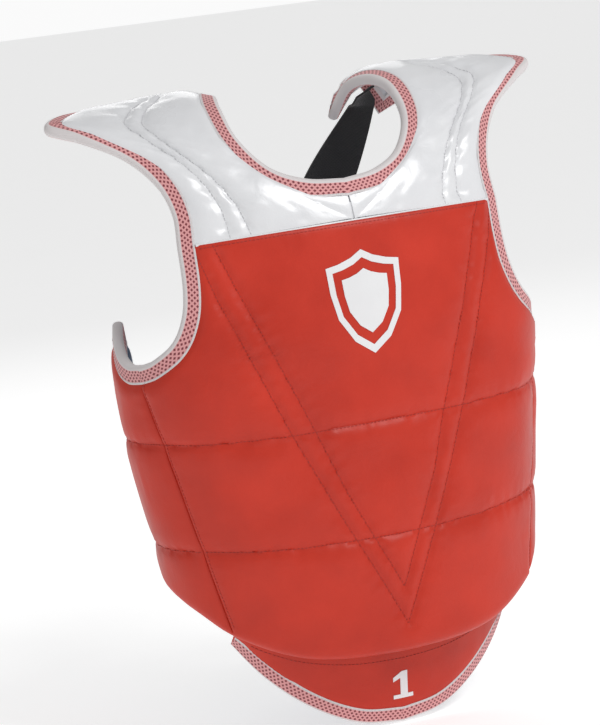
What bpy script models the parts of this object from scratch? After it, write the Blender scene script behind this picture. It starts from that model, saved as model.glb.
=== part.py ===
"""A child's padded chest protector for martial arts, as a kit of separate sewn pieces.

Frame: +Z up, the front faces -Y, and the wearer's left is +X. The origin lies on the axis of the
wearer's trunk, level with the bottom edge of the chest panel. Lengths are in metres.

The padding is one thick sheet that wraps round the trunk. Every panel is a slab bent onto the middle
surface of that sheet: a foam core, with a cover outside it and a lining inside it. A slab starts as a
flat grid whose two coordinates run from 0 to 1 over the panel, and is then moved onto the surface.
"""

import math
from bisect import bisect_right

import bmesh
import bpy
from mathutils import Vector

MM = 0.001

# ---- layers, from the middle surface outwards -------------------------------------------------
FOAM_HALF = 8.6 * MM
FOAM_HALF_EDGE = 2.4 * MM
SHOULDER_FOAM_HALF = 6.6 * MM
FLAP_FOAM_HALF = 3.2 * MM
COVER = 1.1 * MM
AIR = 0.35 * MM
HINGE_GAP = 1.6 * MM

# ---- trunk section: a shallow front arc, a tight side arc and a rear arc, one after another ------
FRONT_ARC = 140 * MM
SIDE_RADIUS = 76 * MM
SIDE_ANGLE = math.radians(100)
REAR_RADIUS = 125 * MM
FRONT_Y = -85 * MM

# ---- heights -----------------------------------------------------------------------------------
YOKE_SEAM_Z = 373 * MM
YOKE_SEAM_DROP = 3 * MM
ARMHOLE_Z = 270 * MM

# ---- webbing -----------------------------------------------------------------------------------
STRAP_WIDTH = 40 * MM
STRAP_THICK = 1.8 * MM
TAPE_WALL = 0.9 * MM
TAPE_AIR = 1.5 * MM
TAPE_WIDTH = 15 * MM

RED = (0.74, 0.07, 0.035, 1.0)
WHITE = (0.80, 0.80, 0.81, 1.0)
BLUE = (0.045, 0.09, 0.19, 1.0)
BLACK = (0.008, 0.008, 0.010, 1.0)
FOAM_GREY = (0.30, 0.31, 0.33, 1.0)
CHECK_TAPE = (0.80, 0.42, 0.42, 1.0)


# ---- scene, collection and materials -------------------------------------------------------------
def clear_scene():
    for obj in list(bpy.data.objects):
        bpy.data.objects.remove(obj, do_unlink=True)


def make_material(name, colour, roughness):
    material = bpy.data.materials.new(name)
    material.use_nodes = True
    shader = material.node_tree.nodes["Principled BSDF"]
    shader.inputs["Base Color"].default_value = colour
    shader.inputs["Roughness"].default_value = roughness
    shader.inputs["Metallic"].default_value = 0.0
    material.diffuse_color = colour
    return material


clear_scene()
collection = bpy.data.collections.new("chest_protector")
bpy.context.scene.collection.children.link(collection)
MATERIALS = {
    "red_pu": make_material("red_pu", RED, 0.42),
    "white_pu": make_material("white_pu", WHITE, 0.35),
    "blue_pu": make_material("blue_pu", BLUE, 0.45),
    "foam": make_material("foam", FOAM_GREY, 0.9),
    "check_tape": make_material("check_tape", CHECK_TAPE, 0.7),
    "black_elastic": make_material("black_elastic", BLACK, 0.8),
    "hook_and_loop": make_material("hook_and_loop", BLACK, 0.95),
    "white_print": make_material("white_print", WHITE, 0.5),
}


# ---- smooth functions through a few points -------------------------------------------------------
def through(points):
    """A smooth function of one number through (input, value) pairs, where a value may be a Vector."""
    keys = [key for key, _ in points]
    values = [value for _, value in points]

    def slope(i):
        before, after = max(i - 1, 0), min(i + 1, len(keys) - 1)
        return (values[after] - values[before]) / (keys[after] - keys[before])

    def at(key):
        key = min(max(key, keys[0]), keys[-1])
        i = min(max(bisect_right(keys, key) - 1, 0), len(keys) - 2)
        gap = keys[i + 1] - keys[i]
        u = (key - keys[i]) / gap
        start, end = values[i], values[i + 1]
        return (
            start * (2 * u**3 - 3 * u**2 + 1)
            + slope(i) * (gap * (u**3 - 2 * u**2 + u))
            + end * (3 * u**2 - 2 * u**3)
            + slope(i + 1) * (gap * (u**3 - u**2))
        )

    return at


def curve_through(points):
    """A smooth space curve of 0 to 1 through points given in millimetres, spaced by their distances."""
    vectors = [Vector(p) * MM for p in points]
    lengths = [0.0]
    for a, b in zip(vectors, vectors[1:]):
        lengths.append(lengths[-1] + (b - a).length)
    return through([(s / lengths[-1], v) for s, v in zip(lengths, vectors)])


# ---- the middle surface of the trunk -------------------------------------------------------------
front_angle = through([(-0.07, 43.0), (0.0, 41.0), (0.1, 32.0), (0.2, 22.0), (0.27, 20.0), (0.4, 20.0)])
lean_at = through([(-0.07, 2 * MM), (0.0, -2 * MM), (0.1, -2 * MM), (0.2, 2 * MM), (0.3, 6 * MM), (0.4, 16 * MM)])


def section(arc, z):
    """Where the trunk's middle line is, this far round from the front centre: x, and y from the front."""
    left = abs(arc)
    turn = math.radians(front_angle(z))
    x = y = angle = 0.0
    pieces = ((FRONT_ARC / turn, turn), (SIDE_RADIUS, SIDE_ANGLE), (REAR_RADIUS, math.pi))
    for radius, end_angle in pieces:
        turned = min(angle + left / radius, end_angle)
        x += radius * (math.sin(turned) - math.sin(angle))
        y += radius * (math.cos(angle) - math.cos(turned))
        left -= radius * (turned - angle)
        angle = turned
    return math.copysign(x, arc), y


def plain_trunk(arc, z):
    x, y = section(arc, z)
    return Vector((x, FRONT_Y + y + lean_at(z), z))


# The side seam is a straight line in space, since the side panel swings on it.
SEAM_FOOT = plain_trunk(149 * MM, 35 * MM)
SEAM_HEAD = plain_trunk(206 * MM, 270 * MM)
seam_arc = through(
    [(-0.07, 0.133), (0.0, 0.141), (0.035, 0.149), (0.1, 0.166), (0.2, 0.188), (0.27, 0.206), (0.4, 0.24)]
)


def trunk(arc, z):
    point = plain_trunk(arc, z)
    at_seam = seam_arc(z)
    line = SEAM_FOOT.lerp(SEAM_HEAD, (z - SEAM_FOOT.z) / (SEAM_HEAD.z - SEAM_FOOT.z))
    pull = (line - plain_trunk(at_seam, z)) * math.exp(-(((abs(arc) - at_seam) / (35 * MM)) ** 2))
    return point + Vector((math.copysign(1, arc) * pull.x, pull.y, 0))


# ---- outlines of the trunk panels ----------------------------------------------------------------
bottom_edge = through(
    [(0, 0.0), (0.06, 0.002), (0.1, 0.009), (0.149, 0.030), (0.185, 0.052), (0.225, 0.067), (0.30, 0.072)]
)
armhole_edge = through(
    [(0.270, 0.2044), (0.274, 0.190), (0.288, 0.168), (0.310, 0.155), (0.335, 0.150), (0.373, 0.149)]
)
side_top = through([(0.206, 0.270), (0.224, 0.270), (0.252, 0.281), (0.282, 0.301)])
rear_edge = through([(0.07, 0.295), (0.12, 0.312), (0.2, 0.307), (0.26, 0.293), (0.301, 0.282)])


def yoke_seam_z(arc):
    return YOKE_SEAM_Z - YOKE_SEAM_DROP * (arc / armhole_edge(1)) ** 2


def front_panel(s, t):
    """s runs from the right side seam to the left one, and t from the bottom edge to the yoke seam."""
    across = 2 * s - 1
    z = t * YOKE_SEAM_Z
    for _ in range(6):
        reach = armhole_edge(z) if z > ARMHOLE_Z else seam_arc(z) - HINGE_GAP
        low, high = bottom_edge(abs(across * reach)), yoke_seam_z(across * reach)
        z = low + t * (high - low)
    return trunk(across * reach, z)


def side_panel(sign):
    """s runs from the side seam to the rear edge, and t from the bottom edge to the armhole."""

    def at(s, t):
        z = 0.06 + 0.2 * t
        for _ in range(6):
            start = seam_arc(z) + HINGE_GAP
            arc = start + s * (rear_edge(z) - start)
            low, high = bottom_edge(arc), side_top(min(arc, 0.282))
            z = low + t * (high - low)
        return trunk(sign * arc, z)

    return at


# ---- yokes and shoulders -------------------------------------------------------------------------
neck_edge = curve_through(
    [(0, -65, 406), (32, -59.5, 410), (60, -48, 423), (79, -28, 449), (81, 0, 475),
     (74, 28, 484), (64, 56, 478), (57, 80, 453)]
)  # fmt: skip
wing_edge = curve_through(
    [(145, -45, 370), (144, -39, 398), (152, -29, 424), (172, -12, 449), (206, 8, 470), (226, 27, 480),
     (200, 50, 485), (152, 68, 477), (104, 84, 452)]
)  # fmt: skip
FOLD = 0.50
CENTRE_SEAM_SHARE = 0.15


def yoke_foot(u):
    """The sheet's lower edge: down the centre seam from the neckline, then out along the yoke seam."""
    if u < CENTRE_SEAM_SHARE:
        return neck_edge(0).lerp(trunk(0, yoke_seam_z(0)), u / CENTRE_SEAM_SHARE)
    arc = armhole_edge(1) * (u - CENTRE_SEAM_SHARE) / (1 - CENTRE_SEAM_SHARE)
    return trunk(arc, yoke_seam_z(arc))


def shoulder_sheet(sign):
    """The whole yoke and shoulder flap as a patch between its four edges. u runs from the neck to the
    armhole, and v from the yoke seam over the shoulder to the back."""

    def at(u, v):
        drift = yoke_foot(u) - neck_edge(0).lerp(wing_edge(0), u)
        arch = 120 * MM * 4 * u * (1 - u) * v * (v - FOLD) ** 2
        point = neck_edge(v).lerp(wing_edge(v), u) + drift * max(0, 1 - v / FOLD) ** 2 + Vector((0, 0, arch))
        return Vector((sign * point.x, point.y, point.z))

    return at


# ---- abdomen flap --------------------------------------------------------------------------------
flap_low = through([(0, -0.068), (0.04, -0.062), (0.08, -0.042), (0.115, -0.014), (0.142, 0.02)])


def abdomen_flap(s, t):
    """s runs across, and t from the lower edge up to the seam behind the chest panel's bottom edge."""
    across = 2 * s - 1
    arc = across * 142 * MM
    low, high = flap_low(abs(arc)), bottom_edge(abs(arc)) + 4 * MM
    high = max(high, low + 8 * MM)
    z = low + t * (high - low)
    point = trunk(arc, z)
    return point + Vector((0, 21 * MM + 10 * MM * (1 - t), 0))


# ---- slabs bent onto a surface -------------------------------------------------------------------
def normal_at(surface, s, t, outward):
    step = 0.01
    across = surface(min(s + step, 1), t) - surface(max(s - step, 0), t)
    along = surface(s, min(t + step, 1)) - surface(s, max(t - step, 0))
    return across.cross(along).normalized() * outward


def stations(count, rim):
    """Grid lines from 0 to 1: one a rim's width in from each end, and the rest evenly between."""
    inner = [rim + (1 - 2 * rim) * i / (count - 2) for i in range(count - 1)]
    return [0.0, *inner, 1.0]


def finish(bm, name, material):
    bmesh.ops.recalc_face_normals(bm, faces=bm.faces[:])
    if bm.calc_volume(signed=True) < 0:
        bmesh.ops.reverse_faces(bm, faces=bm.faces[:])
    mesh = bpy.data.meshes.new(name)
    bm.to_mesh(mesh)
    bm.free()
    mesh.shade_smooth()
    mesh.set_sharp_from_angle(angle=math.radians(40))
    mesh.materials.append(MATERIALS[material])
    obj = bpy.data.objects.new(name, mesh)
    collection.objects.link(obj)
    return obj


def bent_slab(name, surface, low, high, columns, rows, material, outward=1):
    """A closed slab on a surface, between two offsets along its normal, each a function of s and t.
    columns and rows are the grid lines."""
    bm = bmesh.new()
    wide, tall = len(columns) - 1, len(rows) - 1
    bmesh.ops.create_grid(bm, x_segments=wide, y_segments=tall, size=0.5)
    bmesh.ops.triangulate(bm, faces=bm.faces[:], quad_method="FIXED")
    made = bmesh.ops.extrude_face_region(bm, geom=bm.faces[:])["geom"]
    raised = {v for v in made if isinstance(v, bmesh.types.BMVert)}
    for vertex in bm.verts:
        s = columns[round((vertex.co.x + 0.5) * wide)]
        t = rows[round((vertex.co.y + 0.5) * tall)]
        offset = (high if vertex in raised else low)(s, t)
        vertex.co = surface(s, t) + normal_at(surface, s, t, outward) * offset
    return finish(bm, name, material)


class Pad:
    """A foam core between a cover and a lining on one surface. It is thin along its border, where it
    is sewn, and full between the first grid lines in from the border."""

    def __init__(self, surface, columns, rows, half, edge=FOAM_HALF_EDGE, outward=1):
        self.surface, self.columns, self.rows = surface, columns, rows
        self.half, self.edge, self.outward = half, edge, outward

    def core(self, s, t):
        inside = self.columns[0] < s < self.columns[-1] and self.rows[0] < t < self.rows[-1]
        return self.half if inside else self.edge

    def skin(self, s, t):
        return self.core(s, t) + AIR + COVER

    def build(self, names, materials):
        layers = (
            (lambda s, t: -self.core(s, t), self.core),
            (lambda s, t: self.core(s, t) + AIR, self.skin),
            (lambda s, t: -self.skin(s, t), lambda s, t: -self.core(s, t) - AIR),
        )
        for name, material, (low, high) in zip(names, materials, layers):
            bent_slab(name, self.surface, low, high, self.columns, self.rows, material, self.outward)

    def rim(self, edge, inner):
        """What a binding needs where it wraps the border: the border point and the one inside it,
        each with its normal and the pad's half thickness there."""
        return [
            (self.surface(*at), normal_at(self.surface, *at, self.outward), self.skin(*at))
            for at in (edge, inner)
        ]


def binding(name, rims, air=TAPE_AIR):
    """A tape folded round a border: a channel with a wall over each face of the pad."""
    bm = bmesh.new()
    rings = []
    for (edge, normal, half), (inner, inner_normal, inner_half) in rims:
        away = (edge - inner).normalized()
        reach = min(1.0, TAPE_WIDTH / (edge - inner).length)
        ring = []
        for wall, order in ((air, 1), (air + TAPE_WALL, -1)):
            loop = []
            for face in (1, -1):
                at_edge = edge + normal * face * (half + wall)
                at_inner = inner + inner_normal * face * (inner_half + wall)
                leg = [at_edge.lerp(at_inner, reach), at_edge + away * wall]
                loop += leg[::face]
            ring += loop[::order]
        rings.append([bm.verts.new(p) for p in ring])
    for ring, following in zip(rings, rings[1:]):
        for i in range(8):
            j = (i + 1) % 8
            bm.faces.new((ring[i], ring[j], following[j], following[i]))
    for ring in (rings[0], rings[-1]):
        for i in range(3):
            bm.faces.new((ring[i], ring[i + 1], ring[6 - i], ring[7 - i]))
    bmesh.ops.triangulate(bm, faces=bm.faces[:])
    return finish(bm, name, "check_tape")


# ---- the chest panel, the abdomen flap, the side panels, the yokes and the shoulders ---------------
armhole_rows = [0.0, 0.05, 0.14, 0.23, 0.32, 0.42, 0.52, 0.62, 0.70, 0.75, 0.80, 0.86, 0.93, 0.995, 1.0]
chest = Pad(front_panel, stations(14, 0.042), armhole_rows, FOAM_HALF)
chest.build(("chest_foam", "front_cover", "lining"), ("foam", "red_pu", "blue_pu"))

flap = Pad(abdomen_flap, stations(14, 0.055), stations(4, 0.2), FLAP_FOAM_HALF, edge=1.5 * MM)
flap.build(("flap_foam", "flap_cover", "flap_lining"), ("foam", "red_pu", "blue_pu"))

SEAM_V = 0.007
HALF_FOLD = 0.007
side_pads, yoke_pads, shoulder_pads = {}, {}, {}
for side, sign in (("left", 1), ("right", -1)):
    pad = side_pads[side] = Pad(side_panel(sign), stations(6, 0.14), stations(9, 0.07), FOAM_HALF, outward=sign)
    pad.build(
        (f"side_foam_{side}", f"side_cover_{side}", f"side_lining_{side}"), ("foam", "red_pu", "blue_pu")
    )
    sheet = shoulder_sheet(sign)
    yoke_rows = [SEAM_V, *(0.04 + 0.056 * i for i in range(8)), FOLD - HALF_FOLD]
    shoulder_rows = [FOLD + HALF_FOLD, *(0.55 + 0.0555 * i for i in range(8)), 1.0]
    columns = [0.0, *(CENTRE_SEAM_SHARE + 0.142 * i for i in range(6)), 1.0]
    pad = yoke_pads[side] = Pad(sheet, columns, yoke_rows, SHOULDER_FOAM_HALF, outward=sign)
    pad.build(
        (f"yoke_foam_{side}", f"yoke_{side}", f"yoke_lining_{side}"), ("foam", "white_pu", "white_pu")
    )
    pad = shoulder_pads[side] = Pad(sheet, columns, shoulder_rows, SHOULDER_FOAM_HALF, outward=sign)
    pad.build(
        (f"shoulder_foam_{side}", f"shoulder_cover_{side}", f"shoulder_lining_{side}"),
        ("foam", "white_pu", "white_pu"),
    )


# ---- bindings ------------------------------------------------------------------------------------
def side_rims(pad, at_start, rows):
    """The rims along a pad's first or last grid column, at these rows."""
    edge, inner = (pad.columns[0], pad.columns[1]) if at_start else (pad.columns[-1], pad.columns[-2])
    return [pad.rim((edge, t), (inner, t)) for t in rows]


def end_rims(pad, at_start, columns):
    """The rims along a pad's first or last grid row, at these columns."""
    edge, inner = (pad.rows[0], pad.rows[1]) if at_start else (pad.rows[-1], pad.rows[-2])
    return [pad.rim((s, edge), (s, inner)) for s in columns]


def corner_rim(pad, s_edge, s_inner, t_edge, t_inner):
    return pad.rim((s_edge, t_edge), (s_inner, t_inner))


armhole_start = next(i for i, t in enumerate(armhole_rows) if t >= 0.75)
for side, sign in (("left", 1), ("right", -1)):
    yoke, shoulder, trunk_side = yoke_pads[side], shoulder_pads[side], side_pads[side]
    binding(
        f"armhole_binding_{side}",
        side_rims(chest, side == "right", armhole_rows[armhole_start:-1])
        + side_rims(yoke, False, yoke.rows[1:-1]),
    )
    binding(f"neck_binding_{side}", side_rims(yoke, True, yoke.rows[:]))
    s, t = shoulder.columns, shoulder.rows
    binding(
        f"shoulder_binding_{side}",
        side_rims(shoulder, False, t[1:-2])
        + [corner_rim(shoulder, s[-1], s[-2], t[-1], t[-2])]
        + end_rims(shoulder, False, s[-3:1:-1])
        + [corner_rim(shoulder, s[0], s[1], t[-1], t[-2])]
        + side_rims(shoulder, True, t[-3::-1]),
        air=2.2 * MM,
    )
    s, t = trunk_side.columns, trunk_side.rows
    binding(
        f"side_binding_{side}",
        end_rims(trunk_side, False, s[1:-2])
        + [corner_rim(trunk_side, s[-1], s[-2], t[-1], t[-2])]
        + side_rims(trunk_side, False, t[-3:0:-1]),
    )
binding("flap_binding", end_rims(flap, True, flap.columns[1:-1]))


# ---- webbing across the back ---------------------------------------------------------------------


def ribbon(name, edges, material="black_elastic", count=12, thick=STRAP_THICK):
    """A flat strap between two smooth edge curves, each through points in millimetres."""
    first, second = (curve_through(points) for points in edges)

    def surface(s, t):
        return first(t).lerp(second(t), s)

    columns, rows = [0.0, 0.5, 1.0], [i / count for i in range(count + 1)]
    return bent_slab(name, surface, lambda s, t: -thick / 2, lambda s, t: thick / 2, columns, rows, material)


def box(name, size, centre, material, bevel=0.6):
    """A box with rounded edges; size and centre in millimetres."""
    bm = bmesh.new()
    bmesh.ops.create_cube(bm, size=1)
    bmesh.ops.scale(bm, vec=Vector(size) * MM, verts=bm.verts)
    bmesh.ops.translate(bm, vec=Vector(centre) * MM, verts=bm.verts)
    bmesh.ops.bevel(bm, geom=bm.edges[:], offset=bevel * MM, segments=2, profile=0.5, affect="EDGES")
    return finish(bm, name, material)


cross_patch = box("cross_patch", (44, 7, 44), (0, 0, 0), "black_elastic", bevel=1.5)
cross_patch.location = (0, 97 * MM, 318 * MM)
cross_patch.rotation_euler = (0, math.radians(45), 0)
box("waist_patch", (70, 2.4, 44), (0, 101, 118), "hook_and_loop")
box("waist_tab", (62, 2.4, 40), (0, 104, 118), "hook_and_loop")


def under(pad, s, t, depth):
    """A point beneath a pad's lining, in millimetres."""
    return (pad.surface(s, t) - normal_at(pad.surface, s, t, pad.outward) * depth * MM) / MM


def level_edges(points, half_width):
    """The upper and lower edges of a strap whose width stays upright."""
    return [[(x, y, z + dz) for x, y, z in points] for dz in (half_width, -half_width)]


for side, sign in (("left", 1), ("right", -1)):
    shoulder, panel = shoulder_pads[side], side_pads[side]
    neck_side = [under(shoulder, *at, 15) for at in ((0.05, 0.88), (0.06, 0.94), (0.10, 1.0))]
    wing_side = [under(shoulder, *at, 15) for at in ((0.40, 0.88), (0.52, 0.94), (0.90, 1.0))]
    ribbon(
        f"shoulder_strap_{side}",
        [
            [*neck_side, (sign * 38, 99, 396), (sign * 1.8, 97, 348.2)],
            [*wing_side, (sign * 72, 100, 380), (sign * 30.2, 97, 319.8)],
        ],
    )
    hold, tip = (under(panel, s, 0.62, 16) for s in (0.84, 0.99))
    ribbon(
        f"back_strap_{side}",
        [
            [(sign * 30.2, 97, 316.2), (sign * 74, 97, 268), (tip.x, tip.y, tip.z + 19), (hold.x, hold.y, hold.z + 19)],
            [(sign * 1.8, 97, 287.8), (sign * 60, 97, 228), (tip.x, tip.y, tip.z - 19), (hold.x, hold.y, hold.z - 19)],
        ],
    )
    hold, tip = (under(panel, s, 0.18, 16) for s in (0.84, 0.99))
    ribbon(
        f"waist_strap_{side}",
        level_edges([(sign * 36.5, 101, 118), (sign * 75, 98, 118), tip, hold], 19),
    )


# ---- printed marks on the chest and the flap -----------------------------------------------------
def decal(name, lift, outline, hole=None, surface=trunk, thick=0.5 * MM):
    """A thin raised print. outline is a list of (arc, z) in millimetres; hole is a smaller outline with
    as many points."""
    bm = bmesh.new()
    outer = [bm.verts.new((a, z, 0)) for a, z in outline]
    if hole:
        inner = [bm.verts.new((a, z, 0)) for a, z in hole]
        for i in range(len(outer)):
            j = (i + 1) % len(outer)
            bm.faces.new((outer[i], outer[j], inner[j], inner[i]))
    else:
        bm.faces.new(outer)
    bmesh.ops.triangulate(bm, faces=bm.faces[:])
    bmesh.ops.subdivide_edges(bm, edges=[e for e in bm.edges if e.calc_length() > 22], cuts=1)
    bmesh.ops.triangulate(bm, faces=bm.faces[:])
    made = bmesh.ops.extrude_face_region(bm, geom=bm.faces[:])["geom"]
    raised = {v for v in made if isinstance(v, bmesh.types.BMVert)}
    for vertex in bm.verts:
        arc, z = vertex.co.x * MM, vertex.co.y * MM
        step = 2 * MM
        across = surface(arc + step, z) - surface(arc - step, z)
        up = surface(arc, z + step) - surface(arc, z - step)
        normal = across.cross(up).normalized()
        vertex.co = surface(arc, z) + normal * (lift + (thick if vertex in raised else 0))
    return finish(bm, name, "white_print")


def shield(scale, centre):
    half = [(0, -46), (16, -34), (28, -14), (32, 8), (33, 30), (22, 32), (10, 36), (0, 42)]
    full = half + [(-x, z) for x, z in half[-2:0:-1]]
    return [(centre[0] + x * scale, centre[1] + z * scale) for x, z in full]


CHEST_LIFT = FOAM_HALF + AIR + COVER + 0.7 * MM
decal("shield_outline", CHEST_LIFT, shield(1.0, (0, 306)), shield(0.84, (0, 306)))
decal("shield_centre", CHEST_LIFT, shield(0.62, (0, 306)))


def flap_plane(arc, z):
    return trunk(arc, z) + Vector((0, 21 * MM + 10 * MM * (0.004 - z) / 0.07, 0))


numeral = [(-9, -47), (9, -47), (9, -43.5), (4, -43.5), (4, -22), (-1, -22), (-9, -27), (-9, -31), (-2.5, -28),
           (-2.5, -43.5), (-9, -43.5)]  # fmt: skip
decal("size_numeral", FLAP_FOAM_HALF + AIR + COVER + 1.0 * MM, numeral, surface=flap_plane)
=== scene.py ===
import math
from bisect import bisect_right

import bmesh
import bpy
import numpy as np
from mathutils import Matrix, Quaternion, Vector, noise
from mathutils.bvhtree import BVHTree


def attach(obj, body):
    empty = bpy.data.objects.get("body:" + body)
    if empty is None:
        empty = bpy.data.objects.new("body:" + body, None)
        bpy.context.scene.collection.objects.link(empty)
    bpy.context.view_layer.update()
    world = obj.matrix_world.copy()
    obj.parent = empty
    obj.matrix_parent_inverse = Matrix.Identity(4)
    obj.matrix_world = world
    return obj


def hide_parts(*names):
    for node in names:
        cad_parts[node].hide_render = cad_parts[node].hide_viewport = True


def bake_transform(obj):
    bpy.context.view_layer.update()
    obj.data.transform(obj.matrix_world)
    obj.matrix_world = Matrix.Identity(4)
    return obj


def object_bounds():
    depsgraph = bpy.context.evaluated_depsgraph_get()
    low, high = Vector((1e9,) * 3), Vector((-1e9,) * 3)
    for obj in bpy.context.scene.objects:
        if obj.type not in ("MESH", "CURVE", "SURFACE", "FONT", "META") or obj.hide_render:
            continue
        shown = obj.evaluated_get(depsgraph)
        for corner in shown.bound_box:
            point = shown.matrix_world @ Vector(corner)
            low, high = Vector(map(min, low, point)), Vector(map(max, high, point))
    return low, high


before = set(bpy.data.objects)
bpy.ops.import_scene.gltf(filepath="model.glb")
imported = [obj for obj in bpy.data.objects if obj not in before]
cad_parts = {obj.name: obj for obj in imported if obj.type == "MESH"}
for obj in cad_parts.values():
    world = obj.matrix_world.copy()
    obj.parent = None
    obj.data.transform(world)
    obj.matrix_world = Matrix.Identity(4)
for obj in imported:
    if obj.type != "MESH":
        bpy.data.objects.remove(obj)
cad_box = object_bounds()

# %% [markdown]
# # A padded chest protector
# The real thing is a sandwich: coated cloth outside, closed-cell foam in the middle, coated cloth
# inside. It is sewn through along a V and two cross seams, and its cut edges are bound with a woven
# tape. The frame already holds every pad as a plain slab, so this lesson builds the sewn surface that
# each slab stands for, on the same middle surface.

MM = 0.001

# %% [markdown]
# A paper pattern is a handful of measurements joined by a smooth curve. `through` gives such a curve
# for numbers, and `curve_through` gives one in space. A cubic that takes its slope from the points on
# either side passes through every point and never kinks.


# %% Smooth curves through a few points
def through(points):
    keys = [key for key, _ in points]
    values = [value for _, value in points]

    def slope(i):
        before, after = max(i - 1, 0), min(i + 1, len(keys) - 1)
        return (values[after] - values[before]) / (keys[after] - keys[before])

    def at(key):
        key = min(max(key, keys[0]), keys[-1])
        i = min(max(bisect_right(keys, key) - 1, 0), len(keys) - 2)
        gap = keys[i + 1] - keys[i]
        u = (key - keys[i]) / gap
        return (
            values[i] * (2 * u**3 - 3 * u**2 + 1)
            + slope(i) * (gap * (u**3 - 2 * u**2 + u))
            + values[i + 1] * (3 * u**2 - 2 * u**3)
            + slope(i + 1) * (gap * (u**3 - u**2))
        )

    return at


def curve_through(points):
    vectors = [Vector(p) * MM for p in points]
    lengths = [0.0]
    for a, b in zip(vectors, vectors[1:]):
        lengths.append(lengths[-1] + (b - a).length)
    return through([(s / lengths[-1], v) for s, v in zip(lengths, vectors)])


# %% [markdown]
# The wearer's trunk sets the shape of the middle surface: a shallow arc across the front, a tighter
# one round the ribs and an easy one towards the back. Each point on it has an arc, which is the
# distance round from the front centre, and a height.

# %% The middle surface of the trunk
FRONT_ARC = 140 * MM
SIDE_RADIUS = 76 * MM
SIDE_ANGLE = math.radians(100)
REAR_RADIUS = 125 * MM
FRONT_Y = -85 * MM
YOKE_SEAM_Z = 373 * MM
ARMHOLE_Z = 270 * MM
front_angle = through([(-0.07, 43.0), (0.0, 41.0), (0.1, 32.0), (0.2, 22.0), (0.27, 20.0), (0.4, 20.0)])
lean_at = through([(-0.07, 2 * MM), (0.0, -2 * MM), (0.1, -2 * MM), (0.2, 2 * MM), (0.3, 6 * MM), (0.4, 16 * MM)])


def plain_trunk(arc, z):
    left = abs(arc)
    turn = math.radians(front_angle(z))
    x = y = angle = 0.0
    for radius, end_angle in ((FRONT_ARC / turn, turn), (SIDE_RADIUS, SIDE_ANGLE), (REAR_RADIUS, math.pi)):
        turned = min(angle + left / radius, end_angle)
        x += radius * (math.sin(turned) - math.sin(angle))
        y += radius * (math.cos(angle) - math.cos(turned))
        left -= radius * (turned - angle)
        angle = turned
    return Vector((math.copysign(x, arc), FRONT_Y + y + lean_at(z), z))


SEAM_FOOT = plain_trunk(149 * MM, 35 * MM)
SEAM_HEAD = plain_trunk(206 * MM, 270 * MM)
seam_arc = through(
    [(-0.07, 0.133), (0.0, 0.141), (0.035, 0.149), (0.1, 0.166), (0.2, 0.188), (0.27, 0.206), (0.4, 0.24)]
)


def trunk(arc, z):
    """The middle surface, drawn in so that the side seam is one straight line in space."""
    point = plain_trunk(arc, z)
    line = SEAM_FOOT.lerp(SEAM_HEAD, (z - SEAM_FOOT.z) / (SEAM_HEAD.z - SEAM_FOOT.z))
    pull = (line - plain_trunk(seam_arc(z), z)) * math.exp(-(((abs(arc) - seam_arc(z)) / (35 * MM)) ** 2))
    return point + Vector((math.copysign(1, arc) * pull.x, pull.y, 0))


print("side seam from", SEAM_FOOT, "to", SEAM_HEAD)

# %% [markdown]
# Each panel is cut from that surface by its outline. A panel's own two coordinates run from 0 to 1,
# which lets one grid serve for its outside, its inside and its bindings.

# %% Outlines of the panels
bottom_edge = through(
    [(0, 0.0), (0.06, 0.002), (0.1, 0.009), (0.149, 0.030), (0.185, 0.052), (0.225, 0.067), (0.30, 0.072)]
)
armhole_edge = through(
    [(0.270, 0.2044), (0.274, 0.190), (0.288, 0.168), (0.310, 0.155), (0.335, 0.150), (0.373, 0.149)]
)
side_top = through([(0.206, 0.270), (0.224, 0.270), (0.252, 0.281), (0.282, 0.301)])
rear_edge = through([(0.07, 0.295), (0.12, 0.312), (0.2, 0.307), (0.26, 0.293), (0.301, 0.282)])
flap_low = through([(0, -0.068), (0.04, -0.062), (0.08, -0.042), (0.115, -0.014), (0.142, 0.02)])


def yoke_seam_z(arc):
    return YOKE_SEAM_Z - 3 * MM * (arc / armhole_edge(1)) ** 2


def front_pattern(s, t):
    """Arc and height on the front panel: s from the right side seam to the left, t from the hem up."""
    across = 2 * s - 1
    z = t * YOKE_SEAM_Z
    for _ in range(6):
        reach = armhole_edge(z) if z > ARMHOLE_Z else seam_arc(z)
        low, high = bottom_edge(abs(across * reach)), yoke_seam_z(across * reach)
        z = low + t * (high - low)
    return across * reach, z


def side_pattern(s, t):
    z = 0.06 + 0.2 * t
    for _ in range(6):
        start = seam_arc(z)
        arc = start + s * (rear_edge(z) - start)
        low, high = bottom_edge(arc), side_top(min(arc, 0.282))
        z = low + t * (high - low)
    return arc, z


def flap_pattern(s, t):
    arc = (2 * s - 1) * 142 * MM
    low = flap_low(abs(arc))
    high = max(bottom_edge(abs(arc)) + 4 * MM, low + 8 * MM)
    return arc, low + t * (high - low)


def flap_surface(s, t):
    return trunk(*flap_pattern(s, t)) + Vector((0, 21 * MM + 10 * MM * (1 - t), 0))


# %% [markdown]
# The yoke and the shoulder flap are one sheet that leaves the chest, rises past the neck and falls
# behind the shoulder. It is a patch stretched between a neck edge and an armhole edge.

# %% The shoulder sheet
neck_edge = curve_through(
    [(0, -65, 406), (32, -59.5, 410), (60, -48, 423), (79, -28, 449), (81, 0, 475), (74, 28, 484),
     (64, 56, 478), (57, 80, 453)]
)  # fmt: skip
wing_edge = curve_through(
    [(145, -45, 370), (144, -39, 398), (152, -29, 424), (172, -12, 449), (206, 8, 470), (226, 27, 480),
     (200, 50, 485), (152, 68, 477), (104, 84, 452)]
)  # fmt: skip
FOLD = 0.50
CENTRE_SEAM_SHARE = 0.15


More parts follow.
